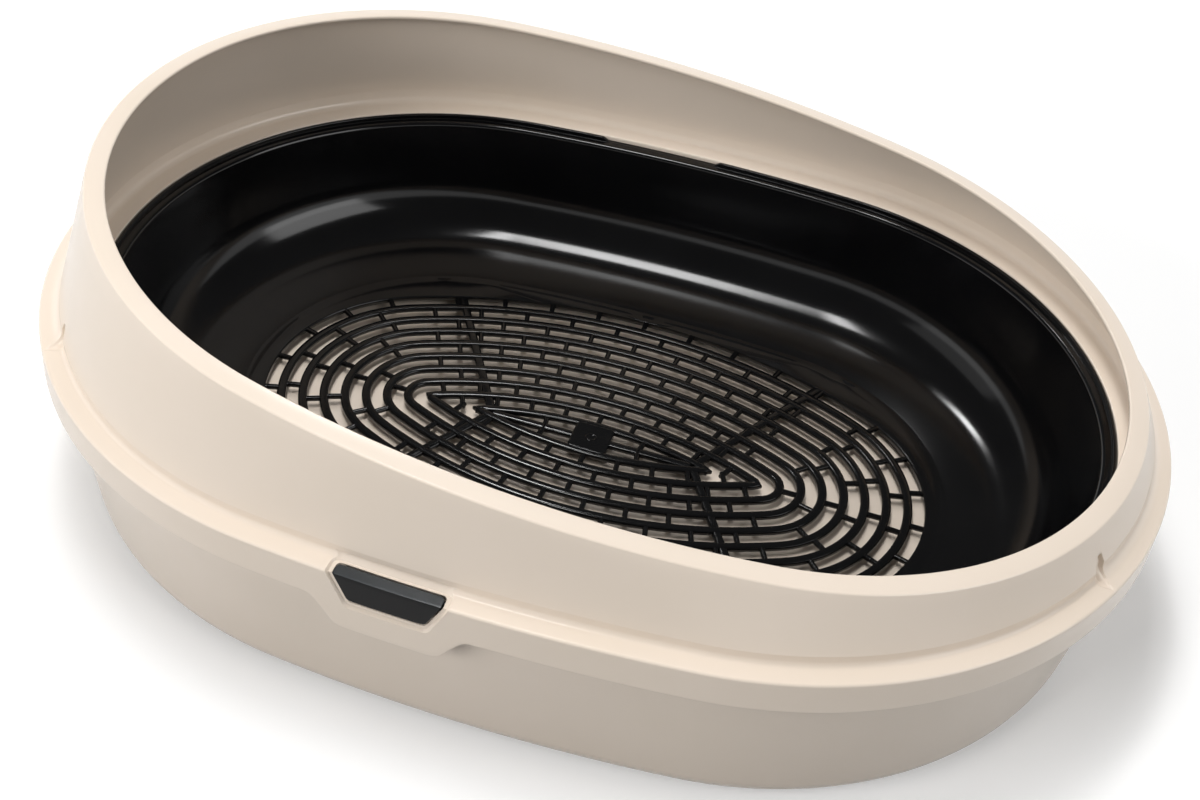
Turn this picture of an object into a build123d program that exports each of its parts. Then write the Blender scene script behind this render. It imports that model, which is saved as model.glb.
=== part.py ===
"""Sifting litter box: two nesting pans, a sieve tray, a raised rim and the two latches that hold it.

Millimetres. +X points to the low entrance end, -Y to the front latch and +Z up. The origin lies on the
floor under the middle of the oval plan. Ring-shaped forms are profiles of (inset, height) points carried
round the plan, where the inset is measured inwards from the outermost edge.
"""

import os
from math import acos, asin, atan2, cos, degrees, radians, sin, sqrt

from build123d import *

os.makedirs("parts", exist_ok=True)

# Plan outline, an oval of four arcs
plan_length = 590.0
plan_width = 436.5
plan_end_share = 0.49

# Base pan
pan_wall = 2.6
pan_top = 94.2
pan_flange_inset = 4.5
pan_wall_inset = 8.0
pan_foot_inset = 20.0
pan_foot_radius = 16.0
pan_lip_depth = 10.2
pan_lip_gap = 92.0

# Litter pan, nested in the base pan
nest_gap = 1.2
litter_flange_inset = 5.0

# Sieve tray
sieve_flange = 2.5
sieve_wall = 2.4
sieve_flange_inset = 5.0
sieve_locator_inset = 26.5
sieve_locator_width = 2.0
sieve_locator_height = 1.4
sieve_mouth_inset = 33.5
sieve_mouth_radius = 2.6
sieve_heel_inset = 46.0
sieve_heel_height = 37.0
sieve_cove_radius = 40.0
finger_notch_x = -20.5
finger_notch_width = 72.0

# Grate in the sieve's floor
grate_inset = 98.0
grate_top = 28.0
grate_thickness = 3.2
grate_fit = 0.1
grate_seat_width = 3.5
grate_end_border = 10.0
grate_side_border = 5.7
grate_end_share = 0.4
grate_row_pitch = 11.7
slot_width = 6.7
bar_width = 3.0
bar_spacing = 29.0
brace_width = 3.4
brace_apex = 58.0
brace_bearing = 61.0
gate_plate = 22.0

# Rim
rim_wall = 3.0
skirt_foot = 86.5
shelf_height = 104.4
shelf_width = 7.5
shelf_rise = 1.25
shelf_edge_radius = 1.6
rim_wall_inset = 10.3
rim_cove_radius = 2.7
rim_collar_height = 111.0
ledge_inset = 26.0
ledge_height = 102.3
ledge_rise = 0.7
ledge_cove_radius = 4.0
lip_end_inset = 22.7
lip_side_inset = 17.0
lip_end_share = 0.479
lip_centre_shift = 5.8
lip_high_height = 180.1
lip_low_height = 127.9
lip_width = 10.2
lip_rise = 1.4
lip_edge = 2.4
lip_edge_radius = 1.0
lip_root = 1.5
high_panel_half_width = 131.0
low_panel_half_width = 95.0
panel_foot_inset = 2.5
panel_bend_inset = 6.5
panel_bend_rise = 2.2
panel_root = 1.0
groove_width = 5.0
groove_foot_inset = 4.0
groove_depth = 1.6

# Apron round each latch
latch_x = -33.5
apron_foot = 71.5
apron_foot_half_width = 24.0
apron_top_half_width = 36.5
apron_radius = 8.0

# Latch and its pocket
latch_foot = 90.5
latch_foot_half_width = 18.5
latch_half_width = 25.5
latch_thickness = 2.4
latch_sink = 0.3
latch_gap = 0.4
finger_gap = 2.0
pocket_border = 2.5
pocket_border_depth = 1.0
hinge_inset = 4.6
hinge_height = 102.3
barrel_radius = 1.6
pin_radius = 1.1
pin_length = 3.0
pin_fit = 0.05
swing_room = 1.0
cheek_thickness = 5.0
cheek_depth = 9.0
cheek_foot = 99.8
bead_clearance = 0.35
bead_height = 1.6
bead_half_width = 12.0

# How far a cutting shape passes what it cuts
overrun = 6.0

# Heights of the stacked flanges
litter_top = pan_top + pan_wall
sieve_top = litter_top + sieve_flange

# Ends of the plan and size of the grate
plan_end_radius = plan_width * plan_end_share
grate_length = plan_length - 2 * (grate_inset + grate_end_border)
grate_width = plan_width - 2 * (grate_inset + grate_side_border)
grate_end_radius = grate_width * grate_end_share


def side_radius(length, width, end_radius):
    """Radius of the long sides of a four-arc oval."""
    reach = length / 2 - end_radius
    return (reach**2 + (width / 2) ** 2 - end_radius**2) / (width - 2 * end_radius)


def oval(length, width, end_radius, mode=Mode.ADD):
    """Four-arc oval in the sketch that is open."""
    reach = length / 2 - end_radius
    drop = side_radius(length, width, end_radius) - width / 2
    turn = atan2(drop, reach)
    x = reach + end_radius * cos(turn)
    y = end_radius * sin(turn)
    with BuildLine() as outline:
        ThreePointArc((x, -y), (length / 2, 0), (x, y))
        ThreePointArc((x, y), (0, width / 2), (-x, y))
        ThreePointArc((-x, y), (-length / 2, 0), (-x, -y))
        ThreePointArc((-x, -y), (0, -width / 2), (x, -y))
    make_face(outline.edges(), mode=mode)


def plan_oval(inset, mode=Mode.ADD):
    """Plan outline moved inwards."""
    oval(plan_length - 2 * inset, plan_width - 2 * inset, plan_end_radius - inset, mode)


def oval_arcs(length, width, end_radius):
    """Centre, radius, first bearing and sweep of an oval's arcs: low end, back, high end, front."""
    reach = length / 2 - end_radius
    side = side_radius(length, width, end_radius)
    drop = side - width / 2
    turn = degrees(atan2(drop, reach))
    return [
        (Vector(reach, 0), end_radius, -turn, 2 * turn),
        (Vector(0, -drop), side, turn, 180 - 2 * turn),
        (Vector(-reach, 0), end_radius, 180 - turn, 2 * turn),
        (Vector(0, drop), side, 180 + turn, 180 - 2 * turn),
    ]


plan_arcs = oval_arcs(plan_length, plan_width, plan_end_radius)
plan_side_radius = side_radius(plan_length, plan_width, plan_end_radius)
low_end, back_side, high_end, front_side = plan_arcs


def swept(points, radii, arcs=plan_arcs, base=Plane.XY, mode=Mode.ADD):
    """Carry a closed profile of (inset, height) points, with corner radii, round arcs of the plan."""
    for centre, radius, start, sweep in arcs:
        bearing = radians(start)
        upright = Plane(centre, (cos(bearing), sin(bearing), 0), (sin(bearing), -cos(bearing), 0))
        corners = [(radius - inset, height) for inset, height in points]
        with BuildSketch(Plane(base.location * upright.location)) as profile:
            with BuildLine():
                FilletPolyline(corners, radius=radii, close=True)
            make_face()
        spindle = Axis(base.from_local_coords(centre), base.z_dir)
        revolve(profile.sketch, axis=spindle, revolution_arc=sweep, mode=mode)


def part_arc(arc, first, last):
    """Part of an arc of the plan, between two bearings."""
    centre, radius, _, _ = arc
    return (centre, radius, first, last - first)


# Base pan: flat floor, rounded foot, leaning wall, flange and turned-down lip
pan_flange_foot = pan_top - pan_wall
pan_draft_share = (pan_foot_inset - pan_wall_inset) / pan_flange_foot
pan_floor_inset = pan_foot_inset + pan_foot_radius
pan_lip_foot = pan_top - pan_lip_depth
front_bearing = -degrees(acos(latch_x / plan_side_radius))
gap_sweep = degrees(pan_lip_gap / plan_side_radius)
gap_profile = [
    (pan_flange_inset - overrun, pan_lip_foot - overrun),
    (pan_flange_inset - overrun, pan_flange_foot),
    (pan_flange_inset + pan_wall, pan_flange_foot),
    (pan_flange_inset + pan_wall, pan_lip_foot - overrun),
]
lip_gap_front = part_arc(front_side, front_bearing - gap_sweep / 2, front_bearing + gap_sweep / 2)
lip_gap_back = part_arc(back_side, -front_bearing - gap_sweep / 2, -front_bearing + gap_sweep / 2)

with BuildPart() as base_pan:
    with BuildSketch():
        plan_oval(pan_floor_inset)
    extrude(amount=pan_wall)
    pan_profile = [
        (pan_floor_inset, 0),
        (pan_foot_inset, 0),
        (pan_wall_inset, pan_flange_foot),
        (pan_flange_inset + pan_wall, pan_flange_foot),
        (pan_flange_inset + pan_wall, pan_lip_foot),
        (pan_flange_inset, pan_lip_foot),
        (pan_flange_inset, pan_top),
        (pan_wall_inset + pan_wall, pan_top),
        (pan_foot_inset + pan_wall - pan_wall * pan_draft_share, pan_wall),
        (pan_floor_inset, pan_wall),
    ]
    inner_foot_radius = pan_foot_radius - pan_wall
    swept(pan_profile, [0, pan_foot_radius, 0, 0, 0, 0, 0, 0, inner_foot_radius, 0])
    swept(gap_profile, 0, arcs=[lip_gap_front, lip_gap_back], mode=Mode.SUBTRACT)
base_pan.part.label = "base_pan"
export_step(base_pan.part, "parts/base_pan.step")

# Litter pan: follows the inside of the base pan, a gap away, and hangs by its flange
litter_shift = pan_wall + nest_gap
litter_floor = pan_wall + nest_gap
litter_foot_inset = pan_foot_inset + litter_shift - litter_floor * pan_draft_share
litter_wall_inset = pan_wall_inset + litter_shift
litter_floor_inset = litter_foot_inset + pan_foot_radius

with BuildPart() as litter_pan:
    with BuildSketch(Plane.XY.offset(litter_floor)):
        plan_oval(litter_floor_inset)
    extrude(amount=pan_wall)
    litter_profile = [
        (litter_floor_inset, litter_floor),
        (litter_foot_inset, litter_floor),
        (litter_wall_inset, pan_top),
        (litter_flange_inset, pan_top),
        (litter_flange_inset, litter_top),
        (litter_wall_inset + pan_wall, litter_top),
        (litter_foot_inset + pan_wall - pan_wall * pan_draft_share, litter_floor + pan_wall),
        (litter_floor_inset, litter_floor + pan_wall),
    ]
    swept(litter_profile, [0, pan_foot_radius, 0, 0, 0, 0, inner_foot_radius, 0])
litter_pan.part.label = "litter_pan"
export_step(litter_pan.part, "parts/litter_pan.step")

# Sieve bowl: flange with a locating ridge, rolled mouth, steep wall, wide cove, and a seat for the grate
grate_foot = grate_top - grate_thickness
seat_foot = grate_foot - sieve_wall
seat_inset = grate_inset + grate_seat_width
notch_sweep = degrees(finger_notch_width / plan_side_radius)
notch_bearing = degrees(acos(finger_notch_x / plan_side_radius))

with BuildPart() as sieve_bowl:
    bowl_profile = [
        (sieve_flange_inset, sieve_top),
        (sieve_mouth_inset, sieve_top),
        (sieve_heel_inset, sieve_heel_height),
        (grate_inset, grate_top),
        (grate_inset, grate_foot),
        (seat_inset, grate_foot),
        (seat_inset, seat_foot),
        (grate_inset - grate_seat_width, seat_foot),
        (sieve_heel_inset - sieve_wall, sieve_heel_height - sieve_wall),
        (sieve_mouth_inset - sieve_wall, litter_top),
        (sieve_flange_inset, litter_top),
    ]
    outer_cove_radius = sieve_cove_radius + sieve_wall
    swept(bowl_profile, [0, sieve_mouth_radius, sieve_cove_radius, 0, 0, 0, 0, 0, outer_cove_radius, 0, 0])
    locator_profile = [
        (sieve_locator_inset, litter_top),
        (sieve_locator_inset, sieve_top + sieve_locator_height),
        (sieve_locator_inset + sieve_locator_width, sieve_top + sieve_locator_height),
        (sieve_locator_inset + sieve_locator_width, litter_top),
    ]
    swept(locator_profile, 0)
    notch_profile = [
        (sieve_locator_inset, sieve_top),
        (sieve_locator_inset, sieve_top + overrun),
        (sieve_locator_inset + sieve_locator_width, sieve_top + overrun),
        (sieve_locator_inset + sieve_locator_width, sieve_top),
    ]
    finger_notch = part_arc(back_side, notch_bearing - notch_sweep / 2, notch_bearing + notch_sweep / 2)
    swept(notch_profile, 0, arcs=[finger_notch], mode=Mode.SUBTRACT)
sieve_bowl.part.label = "sieve_bowl"
export_step(sieve_bowl.part, "parts/sieve_bowl.step")

# Grate: rows of slots follow the oval inwards and end in a pointed lens; their cross bars are staggered
grate_rows = round((grate_width - slot_width) / 2 / grate_row_pitch + 1 / 2)
row_pitch = (grate_width / 2 - slot_width / 2) / (grate_rows - 1 / 2)
grate_side_radius = side_radius(grate_length, grate_width, grate_end_radius)
grate_reach = grate_length / 2 - grate_end_radius
grate_drop = grate_side_radius - grate_width / 2
grate_turn = degrees(atan2(grate_drop, grate_reach))
side_step = degrees(bar_spacing / grate_side_radius)
brace_length = grate_width / 2 / sin(radians(brace_bearing))


def grate_outline(offset, mode=Mode.ADD):
    """Grate's oval moved inwards; past its end radius it is a lens of two arcs."""
    if offset < grate_end_radius:
        oval(grate_length - 2 * offset, grate_width - 2 * offset, grate_end_radius - offset, mode)
        return
    crown = grate_width / 2 - offset
    tip = sqrt((grate_side_radius - offset) ** 2 - grate_drop**2)
    with BuildLine() as lens:
        ThreePointArc((-tip, 0), (0, crown), (tip, 0))
        ThreePointArc((tip, 0), (0, -crown), (-tip, 0))
    make_face(lens.edges(), mode=mode)


def bar_places(row):
    """Places of the cross bars of one row, each turned to point away from its arc's centre."""
    offset = row * row_pitch + slot_width / 2
    stagger_share = row % 2 / 2
    places = []
    side_reach = grate_side_radius - offset
    side_count = int((90 - grate_turn) / side_step)
    for side in (90, -90):
        for step in range(-side_count, side_count + 1):
            bearing = side + (step + stagger_share) * side_step
            x = side_reach * cos(radians(bearing))
            y = side_reach * sin(radians(bearing)) - grate_drop * side / 90
            places.append(Location((x, y, 0), (0, 0, bearing)))
    end_reach = grate_end_radius - offset
    end_count = round(radians(2 * grate_turn) * end_reach / bar_spacing)
    for end in (0, 180):
        for step in range(end_count):
            bearing = end + grate_turn * ((2 * step + 1 + stagger_share) / end_count - 1)
            x = grate_reach * cos(radians(end)) + end_reach * cos(radians(bearing))
            places.append(Location((x, end_reach * sin(radians(bearing)), 0), (0, 0, bearing)))
    return places


def brace_places():
    """Places of the four diagonal braces, from the axis out to the edge."""
    places = []
    for along in (1, -1):
        for across in (1, -1):
            bearing = degrees(atan2(across * sin(radians(brace_bearing)), along * cos(radians(brace_bearing))))
            x = along * brace_apex + brace_length / 2 * cos(radians(bearing))
            y = brace_length / 2 * sin(radians(bearing))
            places.append(Location((x, y, 0), (0, 0, bearing)))
    return places


with BuildPart() as sieve_grate:
    with BuildSketch(Plane.XY.offset(grate_foot)):
        plan_oval(grate_inset + grate_fit)
    extrude(amount=grate_thickness)
    with BuildSketch(Plane.XY.offset(grate_top)):
        for row in range(grate_rows):
            grate_outline(row * row_pitch)
            grate_outline(row * row_pitch + slot_width, mode=Mode.SUBTRACT)
        for row in range(grate_rows):
            with Locations(*bar_places(row)):
                Rectangle(row_pitch, bar_width, mode=Mode.SUBTRACT)
        with Locations(*brace_places()):
            Rectangle(brace_length, brace_width, mode=Mode.SUBTRACT)
        Rectangle(gate_plate, gate_plate, mode=Mode.SUBTRACT)
    extrude(amount=-grate_thickness, mode=Mode.SUBTRACT)
sieve_grate.part.label = "sieve_grate"
export_step(sieve_grate.part, "parts/sieve_grate.step")

# Upright plane at the front latch: X along the edge, Y up, Z outwards
latch_edge = front_side[0] + Vector(1, 0).rotate(Axis.Z, front_bearing) * plan_side_radius
latch_outward = Vector(1, 0).rotate(Axis.Z, front_bearing)
latch_plane = Plane(latch_edge, latch_outward.rotate(Axis.Z, 90), latch_outward)
latch_sweep = degrees((apron_top_half_width + apron_radius) / plan_side_radius)
latch_arc = part_arc(front_side, front_bearing - latch_sweep, front_bearing + latch_sweep)
shelf_slope_share = shelf_rise / shelf_width
latch_crown = shelf_height + shelf_rise
latch_lean_share = (latch_half_width - latch_foot_half_width) / (shelf_height - latch_foot)
barrel_half_length = latch_half_width - latch_lean_share * (shelf_height - hinge_height + barrel_radius)


def latch_outline(margin, foot_drop):
    """Front view of the latch, grown by a margin, with its foot lowered."""
    foot = latch_foot - foot_drop
    foot_half_width = latch_foot_half_width - latch_lean_share * foot_drop + margin
    half_width = latch_half_width + margin
    Polygon(
        (-foot_half_width, foot),
        (foot_half_width, foot),
        (half_width, shelf_height),
        (half_width, latch_crown + overrun),
        (-half_width, latch_crown + overrun),
        (-half_width, shelf_height),
        align=None,
    )


# Apron: the skirt drops behind an S-shaped edge to shield the latch
with BuildPart() as apron:
    apron_profile = [
        (0, apron_foot),
        (0, skirt_foot + rim_wall),
        (rim_wall, skirt_foot + rim_wall),
        (rim_wall, apron_foot),
    ]
    swept(apron_profile, 0, arcs=[latch_arc])
    with BuildSketch(latch_plane):
        with BuildLine():
            apron_ends = apron_top_half_width + 2 * apron_radius
            apron_points = [
                (-apron_ends, skirt_foot + rim_wall),
                (-apron_ends, skirt_foot),
                (-apron_top_half_width, skirt_foot),
                (-apron_foot_half_width, apron_foot),
                (apron_foot_half_width, apron_foot),
                (apron_top_half_width, skirt_foot),
                (apron_ends, skirt_foot),
                (apron_ends, skirt_foot + rim_wall),
            ]
            apron_radii = [0, 0, apron_radius, apron_radius, apron_radius, apron_radius, 0, 0]
            FilletPolyline(apron_points, radius=apron_radii, close=True)
        make_face()
    extrude(amount=overrun, both=True, mode=Mode.INTERSECT)

# Cheeks: blocks under the shelf on both sides of the pocket, drilled for the latch's pins
pocket_half_width = latch_half_width + latch_gap
pocket_depth = hinge_inset + barrel_radius + swing_room
with BuildPart() as cheeks:
    with BuildSketch(latch_plane.offset(-rim_wall)):
        cheek_top = shelf_height - rim_wall / 2
        with Locations(
            (pocket_half_width + cheek_thickness / 2, (cheek_foot + cheek_top) / 2),
            (-pocket_half_width - cheek_thickness / 2, (cheek_foot + cheek_top) / 2),
        ):
            Rectangle(cheek_thickness, cheek_top - cheek_foot)
    extrude(amount=-cheek_depth)

# Pin holes: one bore through both cheeks on the hinge line
barrel_plane = Plane(
    latch_plane.from_local_coords((0, hinge_height, -hinge_inset)),
    latch_plane.z_dir,
    latch_plane.x_dir,
)
with BuildPart() as pin_bore:
    with BuildSketch(barrel_plane):
        Circle(pin_radius + pin_fit)
    extrude(amount=pocket_half_width + pin_length, both=True)

# Pocket: the latch's window through skirt and shelf, straight-sided round the hinge, with a sunk border
with BuildPart() as pocket_window:
    with BuildSketch(latch_plane.offset(overrun)):
        latch_outline(latch_gap, finger_gap)
    extrude(amount=-overrun - pocket_depth)
    with BuildSketch(latch_plane.offset(-rim_wall)):
        with Locations((0, hinge_height)):
            Rectangle(2 * pocket_half_width, 2 * (latch_crown - hinge_height))
    extrude(amount=rim_wall - pocket_depth)

with BuildPart() as pocket_border_cut:
    border_foot = latch_foot - finger_gap - pocket_border
    border_shelf = shelf_height - pocket_border_depth
    border_reach = pocket_depth + pocket_border
    border_profile = [
        (-overrun, border_foot),
        (pocket_border_depth, border_foot),
        (pocket_border_depth, border_shelf),
        (border_reach, border_shelf + border_reach * shelf_slope_share),
        (border_reach, latch_crown + overrun),
        (-overrun, latch_crown + overrun),
    ]
    swept(border_profile, 0, arcs=[latch_arc])
    with BuildSketch(latch_plane.offset(overrun)):
        latch_outline(latch_gap + pocket_border, finger_gap + pocket_border)
    extrude(amount=-overrun - border_reach - pocket_border, mode=Mode.INTERSECT)

# Rim: skirt, sloping shelf and collar with a ledge inside; leaning wall up to the slanted lip; ramped
# panels at the ends, with a groove at each side; aprons
lip_length = plan_length - 2 * lip_end_inset
lip_across = plan_width - 2 * lip_side_inset
lip_end_radius = lip_across * lip_end_share
lip_arcs = oval_arcs(lip_length, lip_across, lip_end_radius)
lip_tilt = asin((lip_low_height - lip_high_height) / lip_length)
lip_plane = Plane(
    (lip_centre_shift, 0, (lip_high_height + lip_low_height) / 2),
    (cos(lip_tilt), 0, sin(lip_tilt)),
    (-sin(lip_tilt), 0, cos(lip_tilt)),
)
high_panel_bearing = degrees(asin(high_panel_half_width / plan_end_radius))
low_panel_bearing = degrees(asin(low_panel_half_width / plan_end_radius))
groove_turn = degrees(groove_width / plan_end_radius)

with BuildPart() as rim:
    collar_profile = [
        (0, skirt_foot),
        (0, shelf_height),
        (shelf_width, shelf_height + shelf_rise),
        (rim_wall_inset, shelf_height + shelf_rise),
        (rim_wall_inset, rim_collar_height),
        (rim_wall_inset + rim_wall, rim_collar_height),
        (rim_wall_inset + rim_wall, ledge_height + ledge_rise),
        (ledge_inset, ledge_height),
        (ledge_inset, sieve_top),
        (shelf_width, sieve_top),
        (shelf_width, shelf_height + shelf_rise - rim_wall),
        (rim_wall, shelf_height - rim_wall + rim_wall * shelf_slope_share),
        (rim_wall, skirt_foot),
    ]
    collar_radii = [0, shelf_edge_radius, 0, rim_cove_radius, 0, 0, ledge_cove_radius, 0, 0, 0, 0, 0, 0]
    swept(collar_profile, collar_radii)

    with BuildSketch(Plane.XY.offset(rim_collar_height)):
        plan_oval(rim_wall_inset)
    with BuildSketch(lip_plane):
        oval(lip_length, lip_across, lip_end_radius)
    loft(ruled=True)
    with BuildSketch(Plane.XY.offset(rim_collar_height)):
        plan_oval(rim_wall_inset + rim_wall)
    with BuildSketch(lip_plane):
        oval(lip_length - 2 * rim_wall, lip_across - 2 * rim_wall, lip_end_radius - rim_wall)
    loft(ruled=True, mode=Mode.SUBTRACT)

    lip_profile = [
        (0, 0),
        (lip_width, lip_rise),
        (lip_width, lip_rise - lip_edge),
        (rim_wall - lip_root / 2, -lip_root),
        (rim_wall / 2, -lip_root),
    ]
    swept(lip_profile, [0, lip_edge_radius, lip_edge_radius, 0, 0], arcs=lip_arcs, base=lip_plane)

    panel_profile = [
        (panel_foot_inset, shelf_height - panel_root),
        (panel_foot_inset, shelf_height + panel_foot_inset * shelf_slope_share),
        (panel_bend_inset, shelf_height + panel_bend_rise),
        (rim_wall_inset, rim_collar_height),
        (rim_wall_inset + rim_wall / 2, rim_collar_height),
        (rim_wall_inset + rim_wall / 2, shelf_height - panel_root),
    ]
    high_panel = part_arc(high_end, 180 - high_panel_bearing, 180 + high_panel_bearing)
    low_panel = part_arc(low_end, -low_panel_bearing, low_panel_bearing)
    swept(panel_profile, 0, arcs=[high_panel, low_panel])

    groove_profile = [
        (groove_foot_inset, shelf_height),
        (groove_foot_inset, rim_collar_height + overrun),
        (rim_wall_inset + groove_depth, rim_collar_height + overrun),
        (rim_wall_inset + groove_depth, shelf_height),
    ]
    groove_arcs = [
        part_arc(low_end, -low_panel_bearing, -low_panel_bearing + groove_turn),
        part_arc(low_end, low_panel_bearing - groove_turn, low_panel_bearing),
        part_arc(high_end, 180 - high_panel_bearing, 180 - high_panel_bearing + groove_turn),
        part_arc(high_end, 180 + high_panel_bearing - groove_turn, 180 + high_panel_bearing),
    ]
    swept(groove_profile, 0, arcs=groove_arcs, mode=Mode.SUBTRACT)

    for fitting in (apron, cheeks):
        add(fitting.part)
        add(mirror(fitting.part, about=Plane.XZ, mode=Mode.PRIVATE))
    for cutter in (pocket_border_cut, pocket_window, pin_bore):
        add(cutter.part, mode=Mode.SUBTRACT)
        add(mirror(cutter.part, about=Plane.XZ, mode=Mode.PRIVATE), mode=Mode.SUBTRACT)
rim.part.label = "rim"
export_step(rim.part, "parts/rim.step")

# Latch: a clip that wraps the shelf's edge, with a barrel and pins at its inner end and a bead at its foot
latch_face = shelf_height - latch_sink
latch_band_end = hinge_inset - latch_sink
bead_inset = pan_flange_inset - bead_clearance

with BuildPart() as latch_front:
    latch_profile = [
        (latch_sink, latch_foot),
        (latch_sink, latch_face),
        (hinge_inset, latch_face + latch_band_end * shelf_slope_share),
        (hinge_inset, latch_face + latch_band_end * shelf_slope_share - latch_thickness),
        (latch_sink + latch_thickness, latch_face - latch_thickness),
        (latch_sink + latch_thickness, latch_foot),
    ]
    swept(latch_profile, [0, shelf_edge_radius, 0, 0, 0, 0], arcs=[latch_arc])
    with BuildSketch(latch_plane.offset(overrun)):
        latch_outline(0, 0)
    extrude(amount=-overrun - pocket_depth, mode=Mode.INTERSECT)
    with BuildSketch(barrel_plane):
        Circle(barrel_radius)
    extrude(amount=barrel_half_length, both=True)
    with BuildSketch(barrel_plane):
        Circle(pin_radius)
    extrude(amount=latch_half_width + pin_length, both=True)
    with BuildSketch(latch_plane.offset(-latch_sink - latch_thickness / 2)):
        with Locations((0, latch_foot + bead_height / 2)):
            Rectangle(2 * bead_half_width, bead_height)
    extrude(amount=latch_sink + latch_thickness / 2 - bead_inset)
latch_front.part.label = "latch_front"
export_step(latch_front.part, "parts/latch_front.step")

with BuildPart() as latch_back:
    add(mirror(latch_front.part, about=Plane.XZ, mode=Mode.PRIVATE))
latch_back.part.label = "latch_back"
export_step(latch_back.part, "parts/latch_back.step")
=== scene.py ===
"""Sifting litter box: beige tubs, a glossy black sieve tray, a raised beige rim and two black latches.

Lengths are in millimetres until a mesh is made, and the frame is the part's own: +X to the low entrance
end, -Y to the front latch, +Z up. Ring-shaped pieces are rings of points round an oval plan. Each ring has
one point for each station, and a station is the bearing of the outward normal there. An inset is measured
inwards from the edge of an oval.
"""

from math import acos, asin, atan2, cos, hypot, radians, sin, sqrt

import bmesh
import bpy
import numpy as np
from mathutils import Matrix


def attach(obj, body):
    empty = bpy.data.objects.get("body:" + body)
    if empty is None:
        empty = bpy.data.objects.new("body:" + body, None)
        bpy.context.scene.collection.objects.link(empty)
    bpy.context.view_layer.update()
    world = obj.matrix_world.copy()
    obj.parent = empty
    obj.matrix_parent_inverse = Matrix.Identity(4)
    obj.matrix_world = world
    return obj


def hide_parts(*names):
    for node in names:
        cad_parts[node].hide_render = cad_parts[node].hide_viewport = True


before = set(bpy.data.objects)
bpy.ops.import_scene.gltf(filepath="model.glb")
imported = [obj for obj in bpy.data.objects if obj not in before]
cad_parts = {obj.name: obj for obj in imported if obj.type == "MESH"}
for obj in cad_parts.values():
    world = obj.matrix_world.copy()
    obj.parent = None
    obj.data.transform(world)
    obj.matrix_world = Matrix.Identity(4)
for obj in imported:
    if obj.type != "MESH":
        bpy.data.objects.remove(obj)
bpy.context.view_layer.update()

MM = 0.001

# Ovals: plan of the whole box, crease of the rim's slanting lip, and grate in the tray's floor
PLAN = dict(length=590.0, width=436.5, end_radius=436.5 * 0.49)
LIP = dict(length=544.6, width=402.5, end_radius=402.5 * 0.479)
GRATE = dict(length=374.0, width=229.1, end_radius=229.1 * 0.4)

# Spacing of the stations: round the plan, and closer at the latches and the grooves
STATION_STEP = 2.7
LATCH_STEP = 0.6
LATCH_REACH = 48.0
GROOVE_STEP = 0.4
GROOVE_REACH = 6.0
CLOSEST_STATIONS = 0.15

# Base pan, whose lip is cut back to a thin rest on both sides of a latch
PAN_TOP = 94.2
PAN_WALL = 2.6
PAN_WALL_INSET = 8.0
PAN_FLANGE_INSET = 4.5
PAN_FLOOR_INSET = 36.0
PAN_FOOT_INSET = 20.0
PAN_FOOT_RADIUS = 16.0
PAN_INNER_FOOT_INSET = 22.26
PAN_LIP_DEPTH = 10.2
PAN_LIP_REST = 0.05
PAN_LIP_GAP = 46.0
PAN_LIP_FADE = 0.6

# Litter pan, whose floor is raised in the middle
LITTER_TOP = 96.8
LITTER_FLANGE_INSET = 5.0
LITTER_WALL_INSET = 11.8
LITTER_FOOT = 3.8
LITTER_FOOT_INSET = 23.3
LITTER_INNER_FOOT_INSET = 25.56
LITTER_RAISED = 18.6
LITTER_SLOPE_FOOT_INSET = 62.0
LITTER_SLOPE_TOP_INSET = 80.0
LITTER_SLOPE_SHIFT = 1.3
LITTER_SLOPE_RADIUS = 6.0
LITTER_MIDDLE_INSET = 95.0

# Sieve bowl
TRAY_TOP = 99.3
TRAY_WALL = 2.4
TRAY_FLANGE_INSET = 5.0
RIDGE_INSET = 26.5
RIDGE_WIDTH = 2.0
RIDGE_HEIGHT = 2.8
NOTCH_X = -20.5
NOTCH_HALF = 36.0
NOTCH_FADE = 2.0
NOTCH_RIDGE = 0.03
MOUTH_INSET = 33.5
MOUTH_RADIUS = 2.6
HEEL_INSET = 46.0
HEEL_HEIGHT = 37.0
COVE_RADIUS = 40.0
SEAT_INSET = 101.4
SEAT_OUTER_INSET = 94.5
SEAT_TOP = 28.0
SEAT_FOOT = 22.4

# Grate
SLOT = 6.7
ROWS = 10
PITCH = (GRATE["width"] / 2 - SLOT / 2) / (ROWS - 1 / 2)
RIB = PITCH - SLOT
RIB_HEIGHT = 3.2
RIB_ROUNDING = 1.1
RIB_STEP = 3.2
LENS_STEP = 4.0
BAR_SPACING = 29.0
BAR_WIDTH = 3.0
BAR_HEIGHT = 2.8
BAR_OVERLAP = 1.2
BAR_PAST_MIDDLE = 1.0
BRACE_APEX = 58.0
BRACE_BEARING = radians(61.0)
BRACE_END = 4.0
BRACE_DROP = 0.3
GRATE_TOP = 27.7
BORDER_DEPTH = 3.0
BORDER_EDGE_INSET = 96.5
BORDER_EDGE_TOP = 28.82
BORDER_EDGE_FOOT = 28.0
BORDER_BEND_INSET = 100.6
BORDER_BEND_TOP = 28.1
BORDER_BEND_RADIUS = 9.0
GATE_HALF = 11.0
GATE_CORNER = 2.5
GATE_RISE = 0.2
GATE_BEVEL = 0.5

# Radius, and height over the grate, of the round mark on the gate plate
MARK_PROFILE = [(3.2, -0.5), (3.2, 0.3), (3.0, 0.4), (2.6, 0.4), (2.3, 0.25), (1.9, 0.25)]

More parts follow.
